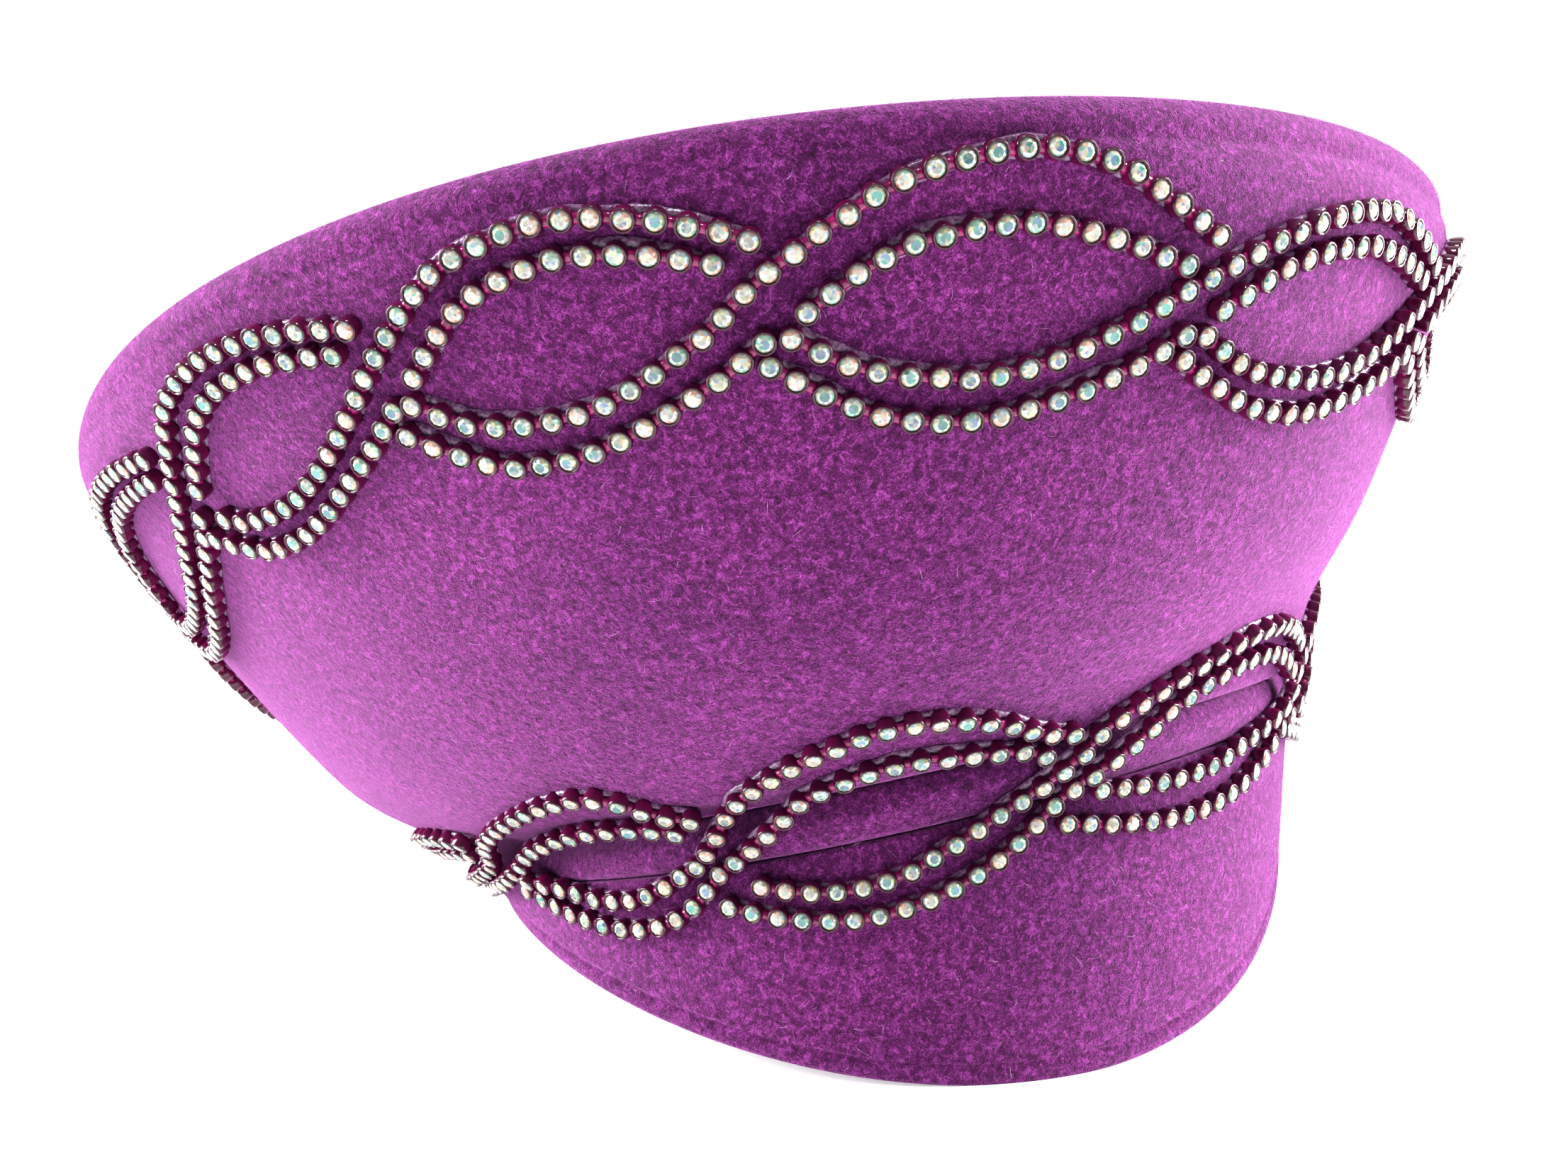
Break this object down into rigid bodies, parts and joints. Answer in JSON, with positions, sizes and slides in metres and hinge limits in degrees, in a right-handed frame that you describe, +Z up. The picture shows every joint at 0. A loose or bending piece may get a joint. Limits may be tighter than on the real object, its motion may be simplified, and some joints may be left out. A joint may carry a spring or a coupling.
{
  "type": "felt hat with rhinestone trim",
  "caption": "Tall flared felt hat with a turned top hem, a rounded band, a visor-like brim that is deepest in front, and two garlands of looped double-row rhinestone banding.",
  "frame": {"origin": "middle of the footprint box, on the surface that the hat stands on", "axes": "+Z up, -Y to the front, +X to the wearer's left"},
  "size_m": [0.3066, 0.3255, 0.1785],
  "materials": {
    "felt": "napped wool felt",
    "banding": "clear wine-coloured plastic",
    "stone": "facetted crystal with a rainbow coating",
    "glue": "clear dried glue"
  },
  "bodies": {
    "root": {"crown": "felt", "crown_tip": "felt", "felt_band": "felt", "brim": "felt", "upper_swag_01_row_1": "banding", "upper_swag_01_row_2": "banding", "upper_swag_02_row_1": "banding", "upper_swag_02_row_2": "banding", "upper_swag_03_row_1": "banding", "upper_swag_03_row_2": "banding", "upper_swag_04_row_1": "banding", "upper_swag_04_row_2": "banding", "upper_swag_05_row_1": "banding", "upper_swag_05_row_2": "banding", "upper_swag_06_row_1": "banding", "upper_swag_06_row_2": "banding", "upper_swag_07_row_1": "banding", "upper_swag_07_row_2": "banding", "upper_swag_08_row_1": "banding", "upper_swag_08_row_2": "banding", "upper_swag_09_row_1": "banding", "upper_swag_09_row_2": "banding", "upper_swag_10_row_1": "banding", "upper_swag_10_row_2": "banding", "upper_swag_11_row_1": "banding", "upper_swag_11_row_2": "banding", "upper_swag_12_row_1": "banding", "upper_swag_12_row_2": "banding", "upper_swag_13_row_1": "banding", "upper_swag_13_row_2": "banding", "lower_swag_01_row_1": "banding", "lower_swag_01_row_2": "banding", "lower_swag_02_row_1": "banding", "lower_swag_02_row_2": "banding", "lower_swag_03_row_1": "banding", "lower_swag_03_row_2": "banding", "lower_swag_04_row_1": "banding", "lower_swag_04_row_2": "banding", "lower_swag_05_row_1": "banding", "lower_swag_05_row_2": "banding", "lower_swag_06_row_1": "banding", "lower_swag_06_row_2": "banding", "lower_swag_07_row_1": "banding", "lower_swag_07_row_2": "banding", "lower_swag_08_row_1": "banding", "lower_swag_08_row_2": "banding"}
  },
  "joints": []
}
